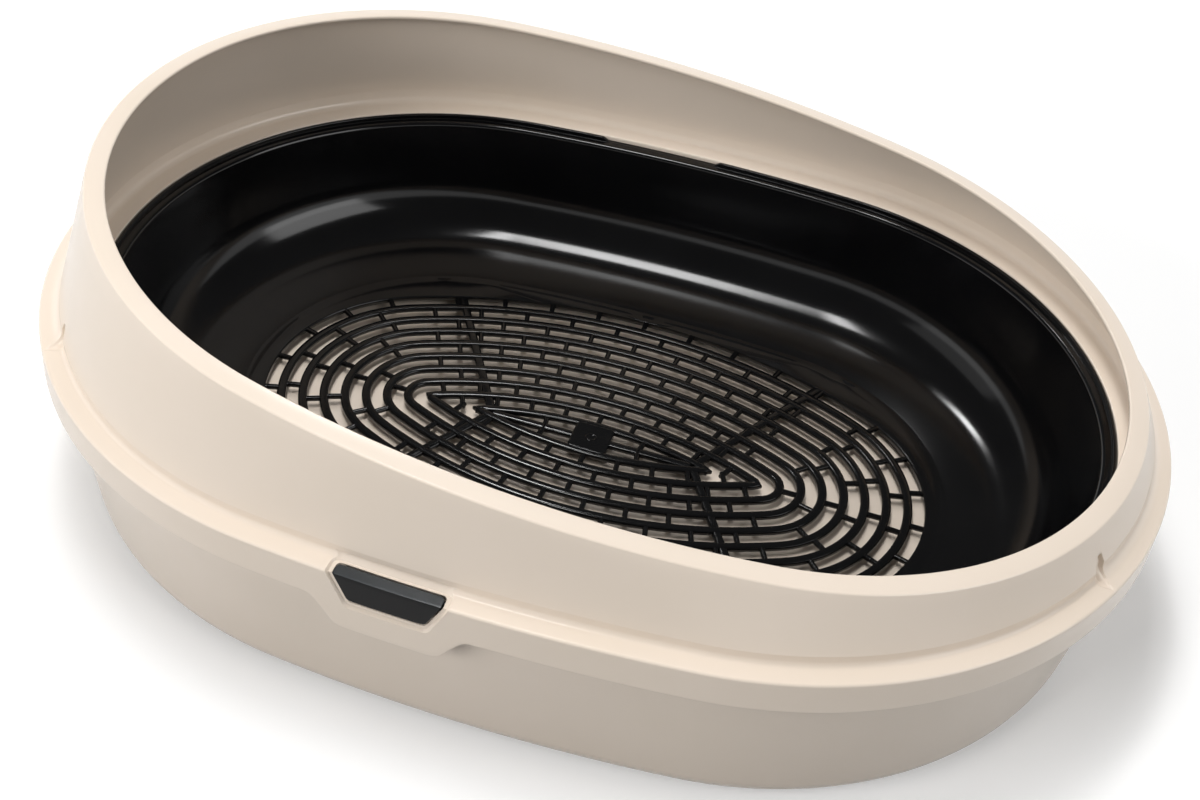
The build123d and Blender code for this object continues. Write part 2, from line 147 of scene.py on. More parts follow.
# Rim
SKIRT_FOOT = 86.5
SHELF = 104.4
SHELF_SLOPE = 1.25 / 7.5
SHELF_RISE = 1.3
SHELF_EDGE_RADIUS = 1.3
SHELF_COVE_RADIUS = 2.7
WALL_INSET = 10.3
COLLAR = 111.0
RIM_WALL = 3.0
LEDGE_INSET = 26.0
LEDGE_TOP = 102.3
LEDGE_COVE_FOOT = 103.0
LEDGE_COVE_RADIUS = 4.0
LEDGE_GAP = 0.05
CHANNEL_INSET = 7.5
CHANNEL_TOP = 102.65
LIP_HIGH = 180.1
LIP_LOW = 127.9
LIP_SHIFT = 5.8
LIP_WIDTH = 10.2
LIP_RISE = 1.4
LIP_EDGE = 2.4
LIP_ROOT_INSET = 2.6
LIP_ROOT_DROP = 1.4
CREASE_RADIUS = 1.3

# Aprons under the latches
APRON_FOOT = 71.5
APRON_FOOT_HALF = 24.0
APRON_TOP_HALF = 36.5
APRON_END = 60.0
APRON_RADIUS = 8.0

# End panels, where the shelf sweeps up to the wall in a wider cove
LOW_PANEL_HALF = 95.0
HIGH_PANEL_HALF = 131.0
PANEL_FADE = 2.0
PANEL_LEAN = 0.6
PANEL_RISE = 2.0
PANEL_SHELF_RISE = 0.8
PANEL_COVE = 4.5

# Grooves beside the end panels: places in from the shelf's edge, half widths and depths there, and heights
GROOVE_PLACES = [2.0, 8.5, 11.0]
GROOVE_HALVES = [0.3, 3.3, 3.3]
GROOVE_DEPTHS = [0.2, 1.7, 2.5]
GROOVE_NARROWS = [113.0, 118.0]
GROOVE_NARROWED = 0.45
GROOVE_ENDS = [116.5, 118.5]
GROOVE_EDGE = 0.45
GROOVE_SINK = 0.9
GROOVE_TURN = 5.0
GROOVE_RING = 9.0

# Latches, their pockets and hinges
LATCH_X = -33.5
LATCH_FOOT = 90.5
LATCH_FOOT_HALF = 18.5
LATCH_HALF = 25.5
LATCH_LEAN = (LATCH_HALF - LATCH_FOOT_HALF) / (SHELF - LATCH_FOOT)
FOOT_CORNER_SHARE = 0.6
BORDER_END = 9.4
WINDOW_END = 7.1
WINDOW_BACK_END = 8.1
CLIP_END = 5.8
CLIP_FACE = 0.3
CLIP_BACK = 2.7
CLIP_BEVEL = 0.8
HINGE_INSET = 4.6
HINGE_HEIGHT = 102.3
BEAD_HALF = 12.0

# Legs of a latch: down the skirt, and back over the shelf
FRONT_LEG = 0
TOP_LEG = 1

# Points in a row of a latch, and its rows round a corner, up the front leg and along the top leg
ROW_POINTS = 41
CORNER_ROWS = 6
FRONT_ROWS = 6
TOP_ROWS = 4

# Points round the hinge bar and the gate mark, and round a corner of the gate plate
HINGE_POINTS = 24
MARK_POINTS = 32
PLATE_CORNER_POINTS = 7


# Oval plan


def oval_arcs(length, width, end_radius):
    """Reach of the end centres, radius and drop of the sides, and half the bearing range of an end."""
    reach = length / 2 - end_radius
    side = (reach**2 + (width / 2) ** 2 - end_radius**2) / (width - 2 * end_radius)
    drop = side - width / 2
    return reach, side, drop, atan2(drop, reach)


def oval_points(bearings, inset, height, length, width, end_radius):
    """Points of an oval, moved inwards, at the given bearings of its outward normal."""
    reach, side, drop, turn = oval_arcs(length, width, end_radius)
    across, along = np.sin(bearings), np.cos(bearings)
    at_end = np.abs(along) > cos(turn)
    radius = np.where(at_end, end_radius, side) - inset
    x = np.where(at_end, np.sign(along) * reach, 0) + radius * along
    y = np.where(at_end, 0, -np.sign(across) * drop) + radius * across
    return np.stack([x, y, np.zeros(len(bearings)) + height], axis=1)


_, SIDE_RADIUS, _, END_TURN = oval_arcs(**PLAN)
END_RADIUS = PLAN["end_radius"]
FRONT_BEARING = -acos(LATCH_X / SIDE_RADIUS)

# Bearings and lengths along the edge at the joins of the plan's arcs, from the low end round by the back
JOIN_BEARINGS = np.array([-END_TURN, END_TURN, np.pi - END_TURN, np.pi + END_TURN, 2 * np.pi - END_TURN])
JOIN_LENGTHS = np.cumsum([0] + [2 * END_TURN * END_RADIUS, (np.pi - 2 * END_TURN) * SIDE_RADIUS] * 2)

# Bearings of the grooves beside the end panels
LOW_GROOVE = asin(LOW_PANEL_HALF / END_RADIUS)
HIGH_GROOVE = asin(HIGH_PANEL_HALF / END_RADIUS)
GROOVES = [-LOW_GROOVE, LOW_GROOVE, np.pi - HIGH_GROOVE, np.pi + HIGH_GROOVE]


def edge_length(bearing):
    """Length along the plan's edge to a bearing."""
    wrapped = (bearing + END_TURN) % (2 * np.pi) - END_TURN
    return np.interp(wrapped, JOIN_BEARINGS, JOIN_LENGTHS)


def station_bearings():
    """Bearings of the stations: even steps round the plan, finer at the latches and grooves."""
    whole = JOIN_LENGTHS[-1]
    steps = [np.arange(0, whole, STATION_STEP)]
    fine = [(bearing, LATCH_REACH, LATCH_STEP) for bearing in (FRONT_BEARING, -FRONT_BEARING)]
    fine += [(bearing, GROOVE_REACH, GROOVE_STEP) for bearing in GROOVES]
    for bearing, reach, step in fine:
        steps.append(edge_length(bearing) + np.arange(-reach, reach + step / 2, step))
    lengths = np.unique(np.round(np.concatenate(steps) % whole, 4))
    apart = np.diff(lengths, append=lengths[0] + whole)
    return np.interp(lengths[apart > CLOSEST_STATIONS], JOIN_LENGTHS, JOIN_BEARINGS)


STATIONS = station_bearings()


def beside(bearing):
    """Signed length along the edge from a bearing to each station."""
    whole = JOIN_LENGTHS[-1]
    apart = edge_length(STATIONS) - edge_length(bearing)
    return (apart + whole / 2) % whole - whole / 2


# Length along the edge from each station to the nearer latch
FROM_LATCH = np.minimum(np.abs(beside(FRONT_BEARING)), np.abs(beside(-FRONT_BEARING)))


def level(inset, height):
    """Level ring of the plan."""
    return oval_points(STATIONS, inset, height, **PLAN)


def tilted(inset, height):
    """Ring of the lip's oval in its slanting plane."""
    tilt = asin((LIP_LOW - LIP_HIGH) / LIP["length"])
    x, y, z = oval_points(STATIONS, inset, height, **LIP).T
    along = LIP_SHIFT + x * cos(tilt) - z * sin(tilt)
    up = (LIP_HIGH + LIP_LOW) / 2 + x * sin(tilt) + z * cos(tilt)
    return np.stack([along, y, up], axis=1)


# Share of the length between two corners that their rounding may take, and guards against dividing by zero
CORNER_ROOM = 0.96
TINY = 1e-6
NEARLY_ONE = 0.99999


def rounded(corners, closed):
    """Rings through a profile's corners, with the corners rounded.

    A corner is a ring, its radius, the steps of its rounding and the number of extra rings that follow it.
    """
    count = len(corners)
    rings = []
    for place, (ring, radius, steps, splits) in enumerate(corners):
        radius = np.zeros(len(ring)) + radius
        ends = []
        for other in (place - 1, (place + 1) % count):
            span = corners[other][0] - ring
            length = np.linalg.norm(span, axis=1)
            share = radius / np.maximum(radius + corners[other][1], TINY)
            ends.append((span / np.maximum(length, TINY)[:, None], CORNER_ROOM * length * share))
        (back, back_room), (ahead, ahead_room) = ends
        half = np.arccos(np.clip((back * ahead).sum(axis=1), -NEARLY_ONE, NEARLY_ONE)) / 2
        reach = np.minimum(radius / np.tan(half), np.minimum(back_room, ahead_room))[:, None]
        weight = np.sin(half)[:, None]
        sharp = np.max(radius) == 0 or (not closed and place in (0, count - 1))
        for t in [0.5] if sharp else np.linspace(0, 1, steps + 1):
            a, b, c = (1 - t) ** 2, 2 * t * (1 - t) * weight, t**2
            bent = (a * (ring + back * reach) + b * ring + c * (ring + ahead * reach)) / (a + b + c)
            rings.append(ring if sharp else bent)
        rings.extend([None] * splits)
    for place, ring in enumerate(rings):
        if ring is None:
            ahead = next(k for k in range(1, len(rings)) if rings[(place + k) % len(rings)] is not None)
            before, after = rings[place - 1], rings[(place + ahead) % len(rings)]
            rings[place] = before + (after - before) / (ahead + 1)
    return rings


def eased(value, start, end):
    """Smooth step from 0 at the start to 1 at the end."""
    share = np.clip((value - start) / (end - start), 0, 1)
    return share * share * (3 - 2 * share)


def circle(radius, height, count):
    """Level ring of points round the origin."""
    turns = np.linspace(0, 2 * np.pi, count, endpoint=False)
    return np.stack([radius * np.cos(turns), radius * np.sin(turns), np.full(count, height)], axis=1)


# Meshes

SHARP_ANGLE = radians(32)


def placed(name, data):
    """New object in the scene for a mesh, lamp or camera."""
    thing = bpy.data.objects.new(name, data)
    bpy.context.collection.objects.link(thing)
    return thing


def outward(piece):
    """Turn a piece's faces outwards and shade it smooth between sharp edges."""
    form = bmesh.new()
    form.from_mesh(piece.data)
    bmesh.ops.recalc_face_normals(form, faces=form.faces)
    form.to_mesh(piece.data)
    form.free()
    piece.data.shade_smooth()
    piece.data.set_sharp_from_angle(angle=SHARP_ANGLE)
    return piece


def mesh_of(name, points, faces):
    """Mesh in metres from points in millimetres."""
    mesh = bpy.data.meshes.new(name)
    mesh.from_pydata([tuple(p) for p in np.asarray(points) * MM], [], faces)
    return mesh


def mesh_piece(name, points, faces):
    """Closed piece with outward faces, smooth but for its sharp edges."""
    return outward(placed(name, mesh_of(name, points, faces)))


def ring_faces(rings, closed):
    """Faces between each ring and the next, and from the last to the first if the profile is closed."""
    count = len(rings[0])
    around = np.arange(count)
    beyond = np.roll(around, -1)
    faces = []
    for place in range(len(rings) - (not closed)):
        a, b = place * count, (place + 1) % len(rings) * count
        faces.extend(np.stack([a + around, a + beyond, b + beyond, b + around], axis=1).tolist())
    return faces


def ring_piece(name, rings, closed):
    """Piece through rings; an open profile is closed by flat ends."""
    faces = ring_faces(rings, closed)
    if not closed:
        around = np.arange(len(rings[0]))
        faces.append(around.tolist())
        faces.append(((len(rings) - 1) * len(around) + around[::-1]).tolist())
    return mesh_piece(name, np.concatenate(rings), faces)


def finished(piece):
    """The piece with its modifiers made into plain mesh."""
    graph = bpy.context.evaluated_depsgraph_get()
    mesh = bpy.data.meshes.new_from_object(piece.evaluated_get(graph), depsgraph=graph)
    piece.modifiers.clear()
    piece.data = mesh
    mesh.name = piece.name
    return piece


def joined(piece, *others):
    """One piece made of several closed meshes."""
    form = bmesh.new()
    form.from_mesh(piece.data)
    for other in others:
        form.from_mesh(other.data)
        bpy.data.objects.remove(other)
    form.to_mesh(piece.data)
    form.free()
    return outward(piece)


def mirrored(piece, name):
    """Copy of a piece on the other long side."""
    twin = placed(name, piece.data.copy())
    twin.data.transform(Matrix.Diagonal((1, -1, 1, 1)))
    return outward(twin)


def cut(piece, *tools):
    """Take tools out of a piece."""
    for tool in tools:
        boolean = piece.modifiers.new("pocket", "BOOLEAN")
        boolean.operation = "DIFFERENCE"
        boolean.solver = "EXACT"
        boolean.object = tool
    finished(piece)
    for tool in tools:
        bpy.data.objects.remove(tool)
    return outward(piece)


# Nodes and colours


def add_node(tree, kind, settings=None, links=None):
    """Add a node, set its properties or unlinked inputs by name, and link its other inputs."""
    node = tree.nodes.new(kind)
    for name, value in (settings or {}).items():
        if hasattr(node, name):
            setattr(node, name, value)
        else:
            node.inputs[name].default_value = value
    for name, source in (links or {}).items():
        tree.links.new(source, node.inputs[name])
    return node


def linear(code):
    """Linear colour of an sRGB hex code."""
    parts = [int(code[k : k + 2], 16) / 255 for k in (1, 3, 5)]
    return tuple(p / 12.92 if p <= 0.04045 else ((p + 0.055) / 1.055) ** 2.4 for p in parts) + (1.0,)


def plastic(name, tones, roughness, cloud_mm, grain_mm, grain_depth_mm, specular):
    """Moulded plastic: two near tones in soft clouds, uneven gloss, and a fine grain from the mould."""
    material = bpy.data.materials.new(name)
    material.use_nodes = True
    tree = material.node_tree
    tree.nodes.clear()
    place = add_node(tree, "ShaderNodeTexCoord")
    cloud = add_node(
        tree,
        "ShaderNodeTexNoise",
        {"Scale": 1000 / cloud_mm, "Detail": 3.0, "Roughness": 0.5},
        {"Vector": place.outputs["Object"]},
    )
    tone = add_node(tree, "ShaderNodeValToRGB", links={"Fac": cloud.outputs["Fac"]})
    for stop, colour, position in zip(tone.color_ramp.elements, tones, (0.3, 0.7)):
        stop.color = linear(colour)
        stop.position = position
    grain = add_node(
        tree,
        "ShaderNodeTexNoise",
        {"Scale": 1000 / grain_mm, "Detail": 2.0},
        {"Vector": place.outputs["Object"]},
    )
    gloss = add_node(
        tree,
        "ShaderNodeMapRange",
        {"To Min": roughness[0], "To Max": roughness[1]},
        {"Value": cloud.outputs["Fac"]},
    )
    bump = add_node(
        tree,
        "ShaderNodeBump",
        {"Strength": 1.0, "Distance": grain_depth_mm * MM},
        {"Height": grain.outputs["Fac"]},
    )
    shader = add_node(
        tree,
        "ShaderNodeBsdfPrincipled",
        {"IOR": 1.49, "Specular IOR Level": specular},
        {
            "Base Color": tone.outputs["Color"],
            "Roughness": gloss.outputs["Result"],
            "Normal": bump.outputs["Normal"],
        },
    )
    add_node(tree, "ShaderNodeOutputMaterial", links={"Surface": shader.outputs["BSDF"]})
    return material


# Satin beige polypropylene: warm, nearly even, soft highlights along the rounded edges
BEIGE = plastic(
    "beige_polypropylene_satin",
    tones=("#E7D9C9", "#E9DBCC"),
    roughness=(0.21, 0.27),
    cloud_mm=60.0,
    grain_mm=0.9,
    grain_depth_mm=0.003,
    specular=0.5,
)
# Black polypropylene from a polished mould: near black, with crisp but slightly wavy reflections
GLOSS_BLACK = plastic(
    "black_polypropylene_gloss",
    tones=("#070708", "#0B0B0C"),
    roughness=(0.10, 0.16),
    cloud_mm=45.0,
    grain_mm=14.0,
    grain_depth_mm=0.015,
    specular=0.4,
)
# Black polypropylene from a fine-textured mould: near black and dull on the latch's front
SATIN_BLACK = plastic(
    "black_polypropylene_satin",
    tones=("#0F0F10", "#131314"),
    roughness=(0.34, 0.4),
    cloud_mm=20.0,
    grain_mm=0.7,
    grain_depth_mm=0.006,
    specular=0.15,
)
# The same black plastic with a painted sheen for the latch's top band: charcoal, lighter than the front, a
# painted reflection of the light from above and behind
PAINTED_SHEEN_BLACK = plastic(
    "black_polypropylene_painted_sheen",
    tones=("#2C3033", "#33373A"),
    roughness=(0.24, 0.3),
    cloud_mm=20.0,
    grain_mm=0.7,
    grain_depth_mm=0.004,
    specular=0.5,
)


def dress(piece, material, body, slot, *nodes):
    """Give a piece its material, its body and the construction nodes that it stands for."""
    piece.data.materials.clear()
    piece.data.materials.append(material)
    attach(piece, body)
    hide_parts(*nodes)


# Base pan: flat floor, rounded foot, leaning wall and a flange whose lip turns down, but not behind a latch

pan_flange_foot = PAN_TOP - PAN_WALL
pan_lip_foot = np.interp(
    FROM_LATCH,
    [PAN_LIP_GAP - PAN_LIP_FADE, PAN_LIP_GAP + PAN_LIP_FADE],
    [pan_flange_foot - PAN_LIP_REST, PAN_TOP - PAN_LIP_DEPTH],
)
pan_rings = rounded(
    [
        (level(PAN_FLOOR_INSET, 0), 0, 1, 0),
        (level(PAN_FOOT_INSET, 0), PAN_FOOT_RADIUS, 10, 0),
        (level(PAN_WALL_INSET, pan_flange_foot), 0.6, 3, 0),
        (level(PAN_FLANGE_INSET + PAN_WALL, pan_flange_foot), 0.3, 2, 0),
        (level(PAN_FLANGE_INSET + PAN_WALL, pan_lip_foot), 0.6, 3, 0),
        (level(PAN_FLANGE_INSET, pan_lip_foot), 0.7, 3, 0),
        (level(PAN_FLANGE_INSET, PAN_TOP), 0.9, 3, 0),
        (level(PAN_WALL_INSET + PAN_WALL, PAN_TOP), 0.6, 3, 0),
        (level(PAN_INNER_FOOT_INSET, PAN_WALL), PAN_FOOT_RADIUS - PAN_WALL, 10, 0),
        (level(PAN_FLOOR_INSET, PAN_WALL), 0, 1, 0),
    ],
    closed=False,
)
base_pan = ring_piece("base_pan_shell", pan_rings, closed=False)

# Litter pan: nests in the base pan, hangs by its flange, and its floor rises close under the grate

litter_floor = LITTER_FOOT + PAN_WALL
raised_floor = LITTER_RAISED + PAN_WALL
upper_slope_foot = LITTER_SLOPE_FOOT_INSET - LITTER_SLOPE_SHIFT
upper_slope_top = LITTER_SLOPE_TOP_INSET - LITTER_SLOPE_SHIFT
litter_rings = rounded(
    [
        (level(LITTER_MIDDLE_INSET, LITTER_RAISED), 0, 0, 0),
        (level(LITTER_SLOPE_TOP_INSET, LITTER_RAISED), LITTER_SLOPE_RADIUS, 5, 0),
        (level(LITTER_SLOPE_FOOT_INSET, LITTER_FOOT), LITTER_SLOPE_RADIUS, 5, 0),
        (level(LITTER_FOOT_INSET, LITTER_FOOT), PAN_FOOT_RADIUS, 8, 0),
        (level(LITTER_WALL_INSET, PAN_TOP), 0.4, 2, 0),
        (level(LITTER_FLANGE_INSET, PAN_TOP), 0.8, 3, 0),
        (level(LITTER_FLANGE_INSET, LITTER_TOP), 0.8, 3, 0),
        (level(LITTER_WALL_INSET + PAN_WALL, LITTER_TOP), 0.6, 3, 0),
        (level(LITTER_INNER_FOOT_INSET, litter_floor), PAN_FOOT_RADIUS - PAN_WALL, 10, 0),
        (level(upper_slope_foot, litter_floor), LITTER_SLOPE_RADIUS, 5, 0),
        (level(upper_slope_top, raised_floor), LITTER_SLOPE_RADIUS, 5, 0),
        (level(LITTER_MIDDLE_INSET, raised_floor), 0, 0, 0),
    ],
    closed=False,
)
litter_pan = ring_piece("litter_pan_shell", litter_rings, closed=False)

# Sieve bowl: flange with a locating ridge, rolled mouth, steep wall and a wide cove down to the grate

notch_bearing = acos(NOTCH_X / SIDE_RADIUS)
ridge_top = TRAY_TOP + np.interp(
    np.abs(beside(notch_bearing)),
    [NOTCH_HALF - NOTCH_FADE, NOTCH_HALF + NOTCH_FADE],
    [NOTCH_RIDGE, RIDGE_HEIGHT],
)
bowl_rings = rounded(
    [
        (level(TRAY_FLANGE_INSET, LITTER_TOP), 0.5, 2, 0),
        (level(TRAY_FLANGE_INSET, TRAY_TOP), 0.8, 3, 0),
        (level(RIDGE_INSET, TRAY_TOP), 0.2, 2, 0),
        (level(RIDGE_INSET, ridge_top), 0.6, 3, 0),
        (level(RIDGE_INSET + RIDGE_WIDTH, ridge_top), 0.6, 3, 0),
        (level(RIDGE_INSET + RIDGE_WIDTH, TRAY_TOP), 0.2, 2, 0),
        (level(MOUTH_INSET, TRAY_TOP), MOUTH_RADIUS, 6, 0),
        (level(HEEL_INSET, HEEL_HEIGHT), COVE_RADIUS, 16, 0),
        (level(SEAT_INSET, SEAT_TOP), 1.1, 4, 0),
        (level(SEAT_INSET, SEAT_FOOT), 0.6, 3, 0),
        (level(SEAT_OUTER_INSET, SEAT_FOOT), 3, 3, 0),
        (level(HEEL_INSET - TRAY_WALL, HEEL_HEIGHT - TRAY_WALL), COVE_RADIUS + TRAY_WALL, 14, 0),
        (level(MOUTH_INSET - TRAY_WALL, LITTER_TOP), 1.5, 3, 0),
    ],
    closed=True,
)
sieve_bowl = ring_piece("sieve_bowl_shell", bowl_rings, closed=True)

# Grate: concentric ribs that end in a lens, staggered bars between them, four braces and a gate plate

GRATE_REACH, GRATE_SIDE, GRATE_DROP, GRATE_TURN = oval_arcs(**GRATE)
GRATE_END = GRATE["end_radius"]


def rib_line(offset):
    """Plan of a rib, the grate's oval moved inwards; past its end radius it is a lens of two arcs."""
    if offset < GRATE_END:
        radii = np.array([GRATE_END - offset, GRATE_SIDE - offset] * 2)
        turns = np.array([2 * GRATE_TURN, np.pi - 2 * GRATE_TURN] * 2)
        lengths = np.concatenate([[0], np.cumsum(radii * turns)])
        starts = np.concatenate([[0], np.cumsum(turns)]) - GRATE_TURN
        steps = np.linspace(0, lengths[-1], max(60, int(lengths[-1] / RIB_STEP)), endpoint=False)
        return oval_points(np.interp(steps, lengths, starts), offset, 0, **GRATE)[:, :2]
    radius = GRATE_SIDE - offset
    half = acos(GRATE_DROP / radius)
    sweep = np.linspace(-half, half, max(12, int(2 * half * radius / LENS_STEP)))
    upper = np.stack([np.sin(-sweep), np.cos(sweep)], axis=1) * radius - (0, GRATE_DROP)
    return np.concatenate([upper[:-1], -upper[:-1]])


def bar_places():
    """Plan places and bearings of the bars across the slots."""
    places = []
    side_step = BAR_SPACING / GRATE_SIDE
    side_count = int((np.pi / 2 - GRATE_TURN) / side_step)
    for row in range(ROWS):
        offset = row * PITCH + SLOT / 2
        stagger = row % 2 / 2
        reach = GRATE_SIDE - offset
        for side in (1, -1):
            for step in range(-side_count, side_count + 1):
                bearing = side * np.pi / 2 + (step + stagger) * side_step
                y = reach * sin(bearing) - side * GRATE_DROP
                if side * y > SLOT / 2 - BAR_PAST_MIDDLE:
                    places.append((reach * cos(bearing), y, bearing))
        reach = GRATE_END - offset
        count = round(2 * GRATE_TURN * reach / BAR_SPACING)
        for end in (1, -1):
            for step in range(count):
                bearing = GRATE_TURN * ((2 * step + 1 + stagger) / count - 1) + (0 if end > 0 else np.pi)
                places.append((end * GRATE_REACH + reach * cos(bearing), reach * sin(bearing), bearing))
    return places


def grate_tree():
    """Geometry Nodes: a rounded rib along every line, and a bar at every loose point."""
    tree = bpy.data.node_groups.new("grate_ribs_and_bars", "GeometryNodeTree")
    tree.interface.new_socket("Lines", in_out="INPUT", socket_type="NodeSocketGeometry")
    for name in ("Rib Width", "Rib Height", "Rib Rounding", "Bar Length", "Bar Width", "Bar Height"):
        tree.interface.new_socket(name, in_out="INPUT", socket_type="NodeSocketFloat")
    tree.interface.new_socket("Finish", in_out="INPUT", socket_type="NodeSocketMaterial")
    tree.interface.new_socket("Grate", in_out="OUTPUT", socket_type="NodeSocketGeometry")
    given = add_node(tree, "NodeGroupInput").outputs
    is_bar = add_node(tree, "GeometryNodeInputNamedAttribute", {"data_type": "BOOLEAN", "Name": "bar"})
    bearing = add_node(tree, "GeometryNodeInputNamedAttribute", {"data_type": "FLOAT", "Name": "bearing"})
    parted = add_node(
        tree,
        "GeometryNodeSeparateGeometry",
        {"domain": "POINT"},
        {"Geometry": given["Lines"], "Selection": is_bar.outputs["Attribute"]},
    )
    rib_curve = add_node(tree, "GeometryNodeMeshToCurve", links={"Mesh": parted.outputs["Inverted"]})
    bar_ends = [
        add_node(
            tree,
            "ShaderNodeVectorMath",
            {"operation": "SCALE", "Vector": (side, 0, 0)},
            {"Scale": given["Bar Length"]},
        )
        for side in (-0.5, 0.5)
    ]
    bar_curve = add_node(
        tree,
        "GeometryNodeCurvePrimitiveLine",
        links={"Start": bar_ends[0].outputs["Vector"], "End": bar_ends[1].outputs["Vector"]},
    )
    solids = []
    for kind, curve in (("Rib", rib_curve.outputs["Curve"]), ("Bar", bar_curve.outputs["Curve"])):
        upright = add_node(tree, "GeometryNodeSetCurveNormal", {"mode": "Z_UP"}, {"Curve": curve})
        outline = add_node(
            tree,
            "GeometryNodeCurvePrimitiveQuadrilateral",
            links={"Width": given[kind + " Width"], "Height": given[kind + " Height"]},
        )
        soft = add_node(
            tree,
            "GeometryNodeFilletCurve",
            {"mode": "POLY", "Count": 3},
            {"Curve": outline.outputs["Curve"], "Radius": given["Rib Rounding"]},
        )
        solids.append(
            add_node(
                tree,
                "GeometryNodeCurveToMesh",
                {"Fill Caps": True},
                {"Curve": upright.outputs["Curve"], "Profile Curve": soft.outputs["Curve"]},
            )
        )
    turn = add_node(tree, "ShaderNodeCombineXYZ", links={"Z": bearing.outputs["Attribute"]})
    bars = add_node(
        tree,
        "GeometryNodeInstanceOnPoints",
        links={
            "Points": parted.outputs["Selection"],
            "Instance": solids[1].outputs["Mesh"],
            "Rotation": turn.outputs["Vector"],
        },
    )
    grate = add_node(tree, "GeometryNodeJoinGeometry", links={"Geometry": solids[0].outputs["Mesh"]})
    tree.links.new(bars.outputs["Instances"], grate.inputs["Geometry"])
    real = add_node(tree, "GeometryNodeRealizeInstances", links={"Geometry": grate.outputs["Geometry"]})
    painted = add_node(
        tree,
        "GeometryNodeSetMaterial",
        links={"Geometry": real.outputs["Geometry"], "Material": given["Finish"]},
    )
    add_node(tree, "NodeGroupOutput", links={"Grate": painted.outputs["Geometry"]})
    return tree


def grate_lines():
    """Mesh of the rib and brace lines as edges, with a loose point for each bar."""
    points, edges = [], []
    for row in range(1, ROWS):
        line = rib_line(row * PITCH - RIB / 2)
        first = len(points)
        points.extend(line.tolist())
        edges.extend((first + k, first + (k + 1) % len(line)) for k in range(len(line)))
    tip = sqrt((GRATE_SIDE - (ROWS - 1) * PITCH + RIB / 2) ** 2 - GRATE_DROP**2)
    straight = [((-tip, 0), (tip, 0))]
    brace_y = GRATE["width"] / 2 - BRACE_END
    brace_x = BRACE_APEX + brace_y / np.tan(BRACE_BEARING)
    for along in (1, -1):
        for across in (1, -1):
            straight.append(((along * BRACE_APEX, 0), (along * brace_x, across * brace_y)))
    brace_start = len(points)
    for line in straight:
        edges.append((len(points), len(points) + 1))
        points.extend(line)
    bar_start = len(points)
    bars = bar_places()
    points.extend((x, y) for x, y, _ in bars)
    heights = np.full(len(points), GRATE_TOP - RIB_HEIGHT / 2)
    heights[brace_start:bar_start] -= BRACE_DROP
    mesh = bpy.data.meshes.new("sieve_grate_lines")
    mesh.from_pydata([(x * MM, y * MM, z * MM) for (x, y), z in zip(points, heights)], edges, [])
    is_bar = mesh.attributes.new("bar", "BOOLEAN", "POINT")
    is_bar.data.foreach_set("value", np.arange(len(points)) >= bar_start)
    bearing = mesh.attributes.new("bearing", "FLOAT", "POINT")
    bearing.data.foreach_set("value", np.array([0.0] * bar_start + [turn for _, _, turn in bars]))
    return mesh


sieve_grate = placed("sieve_grate_ribs", grate_lines())
ribs = sieve_grate.modifiers.new("ribs", "NODES")
ribs.node_group = grate_tree()
rib_sizes = {
    "Rib Width": RIB * MM,
    "Rib Height": RIB_HEIGHT * MM,
    "Rib Rounding": RIB_ROUNDING * MM,
    "Bar Length": (SLOT + 2 * BAR_OVERLAP) * MM,
    "Bar Width": BAR_WIDTH * MM,
    "Bar Height": BAR_HEIGHT * MM,
    "Finish": GLOSS_BLACK,
}
for socket in ribs.node_group.interface.items_tree:
    if socket.name in rib_sizes:
        ribs[socket.identifier] = rib_sizes[socket.name]
finished(sieve_grate)

border_rings = rounded(
    [
        (level(BORDER_EDGE_INSET, BORDER_EDGE_TOP), 0, 0, 0),
        (level(BORDER_BEND_INSET, BORDER_BEND_TOP), BORDER_BEND_RADIUS, 4, 0),
        (oval_points(STATIONS, 0, GRATE_TOP, **GRATE), 1.0, 4, 0),
        (oval_points(STATIONS, 0, GRATE_TOP - BORDER_DEPTH, **GRATE), 0.6, 3, 0),
        (level(BORDER_BEND_INSET, GRATE_TOP - BORDER_DEPTH), 0, 0, 0),
        (level(BORDER_EDGE_INSET, BORDER_EDGE_FOOT), 0, 0, 0),
    ],
    closed=True,
)
grate_border = ring_piece("grate_border", border_rings, closed=True)


def rounded_square(half, radius, low, high, bevel):
    """Rings of a plate with rounded corners and a rounded upper edge."""
    sweep = np.linspace(0, np.pi / 2, PLATE_CORNER_POINTS)
    middle = half - radius
    bend = bevel * 0.3
    profile = [(0, low), (0, high - bevel), (bend, high - bend), (bevel, high), (2 * bevel, high)]
    rings = []
    for shrink, height in profile:
        corners = []
        for quarter, (along, across) in enumerate([(1, 1), (-1, 1), (-1, -1), (1, -1)]):
            turns = sweep + quarter * np.pi / 2
            x = middle * along + (radius - shrink) * np.cos(turns)
            y = middle * across + (radius - shrink) * np.sin(turns)
            corners.append(np.stack([x, y, np.full(len(sweep), height)], axis=1))
        rings.append(np.concatenate(corners))
    return rings


gate_foot, gate_top = GRATE_TOP - BORDER_DEPTH, GRATE_TOP + GATE_RISE
gate_rings = rounded_square(GATE_HALF, GATE_CORNER, gate_foot, gate_top, GATE_BEVEL)
gate_plate = ring_piece("gate_plate", gate_rings, closed=False)
mark_rings = [circle(radius, GRATE_TOP + height, MARK_POINTS) for radius, height in MARK_PROFILE]
gate_mark = ring_piece("gate_mark", mark_rings, closed=False)
joined(sieve_grate, grate_border, gate_plate, gate_mark)

# Rim: skirt with an apron at each latch, sloping shelf, leaning wall up to a slanting lip, and a ledge inside

